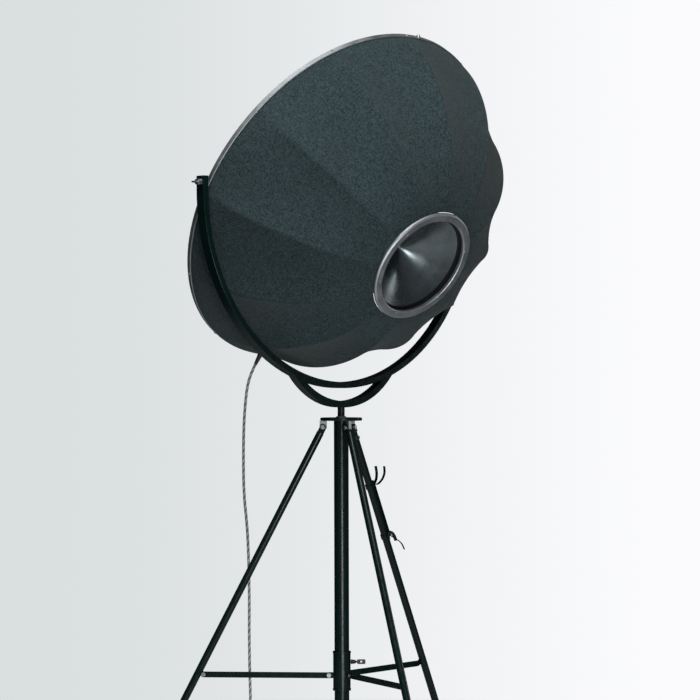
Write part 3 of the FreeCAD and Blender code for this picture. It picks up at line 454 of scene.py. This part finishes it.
def ring(name, radius, height, thickness, finish, segments=288, sides=10):
    """A welted cord of cloth sewn round the shade at one radius."""
    vertices, faces = [], []
    for i in range(segments):
        angle = 2 * math.pi * i / segments
        for j in range(sides):
            turn = 2 * math.pi * j / sides
            r = radius + thickness * math.cos(turn)
            level = height + thickness * math.sin(turn)
            vertices.append(shade @ Vector((r * math.cos(angle), r * math.sin(angle), level)))
    for i in range(segments):
        for j in range(sides):
            n, m = (i + 1) % segments, (j + 1) % sides
            faces.append((i * sides + j, n * sides + j, n * sides + m, i * sides + m))
    obj = new_object(name, vertices, faces, finish)
    store(obj, "lie", "FLOAT_VECTOR", [(i / len(vertices), 0.0, 0.0) for i in range(len(vertices))])
    return obj


sheets = {}
for name, offset, finish, node in (
    ("shade_cloth", OUTER_OFFSET, outer_cloth, "shade_fabric"),
    ("lining_cloth", INNER_OFFSET, inner_cloth, "shade_lining"),
):
    obj, width, length, area = gore_sheet(name, offset, finish)
    sheets[name] = (obj, width, length, area)
    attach(obj, "shade")
    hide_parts(node)

hem = ring("mouth_hem", rib_point(0, OUTER_OFFSET).x + 0.0006, 0.0089, 0.0011, outer_cloth)
back_hem = ring("back_hem", rib_point(1, OUTER_OFFSET).x + 0.0010, 0.3434, 0.0010, outer_cloth, 144)
for obj in (hem, back_hem):
    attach(obj, "shade")

obj, width, length, area = sheets["shade_cloth"]
obj, width, length, area = sheets["lining_cloth"]


# ---------------------------------------------------------------- supply cord

# From the strain relief down to the floor, in the head's own frame.
CORD_ROUTE = [
    (0.0441, -0.2734, 1.0432),
    (0.0466, -0.2885, 1.0187),
    (0.0495, -0.2995, 0.9840),
    (0.0505, -0.3060, 0.9400),
    (0.0510, -0.3115, 0.8800),
    (0.0500, -0.3145, 0.7950),
    (0.0510, -0.3120, 0.7000),
    (0.0480, -0.3020, 0.6120),
    (0.0500, -0.2950, 0.5250),
    (0.0505, -0.2925, 0.4300),
    (0.0495, -0.2945, 0.3350),
    (0.0505, -0.2920, 0.2400),
    (0.0490, -0.2905, 0.1600),
    (0.0475, -0.2920, 0.0980),
    (0.0430, -0.2990, 0.0480),
    (0.0340, -0.3200, 0.0140),
    (0.0240, -0.3500, 0.0041),
    (0.0130, -0.3850, 0.0039),
]


def full_route():
    """The route, the put-away coil's turns and the short end to the plug."""
    points = [Vector(point) for point in CORD_ROUTE]
    heading = (points[-1] - points[-2]).to_2d().to_3d().normalized()
    across = Vector((heading.y, -heading.x, 0))
    outer = COIL_RADIUS + CORD_DIAMETER
    centre = points[-1].to_2d().to_3d() + across * outer + heading * 0.004
    steps = 20
    count = round(COIL_TURNS * steps)
    rise_at, rise_turns, laying_in = COIL_TURNS / 2, 0.3, 2.05
    for i in range(1, count + 1):
        turn = i / steps
        inner_share = 1 - min(1.0, abs(turn - rise_at) / laying_in)
        radius = outer - 2 * CORD_DIAMETER * inner_share
        level = min(1.0, max(0.0, (turn - rise_at) / rise_turns + 0.5))
        angle = 2 * math.pi * turn
        spot = -across * math.cos(angle) + heading * math.sin(angle)
        height = CORD_DIAMETER * (0.52 + level)
        points.append(centre + spot * radius / math.cos(math.pi / steps) + Vector((0, 0, height)))
    leave = points[-1]
    points.append(leave - heading * 0.019 + across * 0.0004 + Vector((0, 0, 0.00045)))
    points.append(centre + across * (outer + 0.003) - heading * 0.040
                  + Vector((0, 0, 1.5 * CORD_DIAMETER + 0.00095)))
    return [head @ point for point in points]


def spline_line(points):
    """The smooth line of a NURBS spline through the route, read back as points."""
    curve = bpy.data.curves.new("route", "CURVE")
    curve.dimensions = "3D"
    spline = curve.splines.new("NURBS")
    spline.points.add(len(points) - 1)
    for target, point in zip(spline.points, points):
        target.co = (*point, 1.0)
    spline.order_u = 3
    spline.use_endpoint_u = True
    spline.resolution_u = 24
    obj = bpy.data.objects.new("route", curve)
    bpy.context.scene.collection.objects.link(obj)
    mesh = bpy.data.meshes.new_from_object(obj.evaluated_get(bpy.context.evaluated_depsgraph_get()))
    line = [vertex.co.copy() for vertex in mesh.vertices]
    bpy.data.objects.remove(obj)
    bpy.data.curves.remove(curve)
    bpy.data.meshes.remove(mesh)
    return line


def evenly(line, step):
    """Points a fixed step apart along a line."""
    spaced, left = [line[0]], step
    for start, end in zip(line, line[1:]):
        run = (end - start).length
        place = left
        while place <= run:
            spaced.append(start.lerp(end, place / run))
            place += step
        left = place - run
    spaced.append(line[-1])
    return spaced


def braided_tube(name, line, radius, finish, sides=24, carriers=6, lay_length=0.011):
    """A tube with the relief of its braid, and at its vertices a lightness that holds the braid's two-tone
    stripe and painted shade in its grooves.
    """
    vertices, faces, yarn_and_groove_shade = [], [], []
    forward = (line[1] - line[0]).normalized()
    side = forward.orthogonal().normalized()
    run = 0.0
    for i, point in enumerate(line):
        after, before = line[min(i + 1, len(line) - 1)], line[max(i - 1, 0)]
        ahead = (after - before).normalized()
        side = (side - ahead * side.dot(ahead)).normalized()
        other = ahead.cross(side)
        if i:
            run += (point - line[i - 1]).length
        for j in range(sides):
            turn = 2 * math.pi * j / sides
            right = carriers * turn + 2 * math.pi * run / lay_length * 2
            left = carriers * turn - 2 * math.pi * run / lay_length * 2
            relief = math.sin(right) * math.sin(left)
            r = radius + 0.00016 * relief
            vertices.append(point + (side * math.cos(turn) + other * math.sin(turn)) * r)
            # The stripe is the braid's own two-tone pattern; the relief share is painted shade and highlight,
            # darker in the grooves and lighter on the crowns.
            stripe = 0.5 + 0.5 * math.sin(2 * turn - 2 * math.pi * run / (1.6 * lay_length))
            yarn_and_groove_shade.append(0.55 * stripe + 0.45 * (0.5 + 0.5 * relief))
    for i in range(len(line) - 1):
        for j in range(sides):
            m = (j + 1) % sides
            faces.append((i * sides + j, i * sides + m, (i + 1) * sides + m, (i + 1) * sides + j))
    faces.append(tuple(reversed(range(sides))))
    faces.append(tuple(range(len(vertices) - sides, len(vertices))))
    obj = new_object(name, vertices, faces, finish)
    store(obj, "yarn_and_groove_shade", "FLOAT", yarn_and_groove_shade)
    return obj


cord_line = evenly(spline_line(full_route()), 0.0012)
cord = braided_tube("supply_cord", cord_line, CORD_DIAMETER / 2 - 0.0001, finishes["cord_braid"])
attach(cord, "tripod")
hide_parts("cord_lead", "cord_coil", "cord_tail")


# ---------------------------------------------------------------- floor, light and camera


def make_floor():
    """A pale floor that fades out round the object."""
    mesh = bpy.data.meshes.new("floor")
    shape = bmesh.new()
    bmesh.ops.create_circle(shape, cap_ends=True, segments=96, radius=2.0)
    shape.to_mesh(mesh)
    shape.free()
    floor = bpy.data.objects.new("floor", mesh)
    floor.location.z = min(0.0, cad_box[0][2]) - 0.0004
    bpy.context.scene.collection.objects.link(floor)
    finish = Finish("floor", (0.80, 0.80, 0.80), 0.9, Specular_IOR_Level=0.1)
    reach = finish.add("ShaderNodeVectorMath", operation="LENGTH")
    finish.link(finish.coords, reach.inputs[0])
    finish.link(finish.ramp(reach.outputs["Value"], 1.0, 0.0, (0.7, 1.7)), finish.shader.inputs["Alpha"])
    finish.paint(finish.tint(finish.noise(3.0, 4.0), (0.78, 0.78, 0.79), (0.82, 0.82, 0.82)))
    mesh.materials.append(finish.material)


def direction(azimuth, elevation):
    """The unit vector toward an azimuth and elevation in degrees."""
    a, e = math.radians(azimuth), math.radians(elevation)
    return Vector((math.cos(a) * math.cos(e), math.sin(a) * math.cos(e), math.sin(e)))


def area_light(name, azimuth, elevation, distance, width, height, power, target=(0, 0, 1.3)):
    """A soft box that faces its target from one side."""
    light = bpy.data.lights.new(name, "AREA")
    light.shape = "RECTANGLE"
    light.size, light.size_y, light.energy = width, height, power
    obj = bpy.data.objects.new(name, light)
    way = direction(azimuth, elevation)
    obj.location = Vector(target) + way * distance
    obj.rotation_euler = way.to_track_quat("Z", "Y").to_euler()
    bpy.context.scene.collection.objects.link(obj)


CONE_TIP = (0.04, 0.24, 1.34)
CAMERA_DISTANCE = 8.0
CAMERA_HEIGHT = 1.0443
VIEW_AZIMUTH = 35.75
RIGHT_AZIMUTH = VIEW_AZIMUTH + 90


def make_world():
    """Pale surroundings, a little brighter to the right of the camera, seen brighter than they light."""
    world = bpy.data.worlds.new("studio")
    bpy.context.scene.world = world
    world.use_nodes = True
    tree = world.node_tree
    tree.nodes.clear()
    coords = tree.nodes.new("ShaderNodeTexCoord")

    def toward(azimuth, elevation, start, end, low, high):
        """A smooth step over the angle from one direction."""
        dot = tree.nodes.new("ShaderNodeVectorMath")
        dot.operation = "DOT_PRODUCT"
        dot.inputs[1].default_value = direction(azimuth, elevation)
        tree.links.new(coords.outputs["Generated"], dot.inputs[0])
        ramp = tree.nodes.new("ShaderNodeMapRange")
        ramp.interpolation_type = "SMOOTHSTEP"
        for socket, value in zip(("From Min", "From Max", "To Min", "To Max"), (start, end, low, high)):
            ramp.inputs[socket].default_value = value
        tree.links.new(dot.outputs["Value"], ramp.inputs["Value"])
        return ramp.outputs["Result"]

    tint = tree.nodes.new("ShaderNodeMix")
    tint.data_type = "RGBA"
    tint.inputs[6].default_value = (0.70, 0.735, 0.745, 1)
    tint.inputs[7].default_value = (0.965, 0.965, 0.98, 1)
    tree.links.new(toward(RIGHT_AZIMUTH, 0, -0.10, 0.12, 0.0, 1.0), tint.inputs["Factor"])
    seen = tree.nodes.new("ShaderNodeBackground")
    seen.inputs["Strength"].default_value = 1.0
    tree.links.new(tint.outputs[2], seen.inputs["Color"])
    lit = tree.nodes.new("ShaderNodeBackground")
    lit.inputs["Color"].default_value = (0.9, 0.95, 1.0, 1)
    tree.links.new(toward(VIEW_AZIMUTH + 15, 25, -0.25, 0.95, 0.015, 0.22), lit.inputs["Strength"])
    rays = tree.nodes.new("ShaderNodeLightPath")
    mix = tree.nodes.new("ShaderNodeMixShader")
    tree.links.new(rays.outputs["Is Camera Ray"], mix.inputs[0])
    tree.links.new(lit.outputs[0], mix.inputs[1])
    tree.links.new(seen.outputs[0], mix.inputs[2])
    out = tree.nodes.new("ShaderNodeOutputWorld")
    tree.links.new(mix.outputs[0], out.inputs["Surface"])


def make_camera():
    """A long lens at chest height, aimed a little off the column."""
    data = bpy.data.cameras.new("camera")
    data.lens, data.sensor_width = 159.4, 36.0
    camera = bpy.data.objects.new("camera", data)
    bpy.context.scene.collection.objects.link(camera)
    a = math.radians(VIEW_AZIMUTH)
    outward = Vector((math.cos(a), math.sin(a), 0))
    right = Vector((-math.sin(a), math.cos(a), 0))
    camera.location = outward * CAMERA_DISTANCE + Vector((0, 0, CAMERA_HEIGHT))
    aim_right, aim_up, roll = (math.tan(math.radians(angle)) for angle in (0.167, 0.25, 0.165))
    forward = (-outward + right * aim_right + Vector((0, 0, aim_up))).normalized()
    top = Vector((0, 0, 1)) + right * roll
    x_axis = forward.cross(top).normalized()
    y_axis = x_axis.cross(forward)
    camera.rotation_mode = "QUATERNION"
    camera.rotation_quaternion = Matrix((x_axis, y_axis, -forward)).transposed().to_quaternion()
    bpy.context.scene.camera = camera


make_floor()
make_world()
area_light("top", VIEW_AZIMUTH - 4, 55, 3.6, 2.4, 1.8, 125)
area_light("right", 150, 2, 3.4, 0.8, 0.8, 10, target=CONE_TIP)
area_light("streak", 47, -25, 2.4, 0.9, 0.8, 24, target=CONE_TIP)
area_light("front", VIEW_AZIMUTH + 6, -2, 5.0, 0.25, 2.2, 7, target=(0, 0, 0.7))
make_camera()
bpy.context.scene.view_settings.view_transform = "Standard"
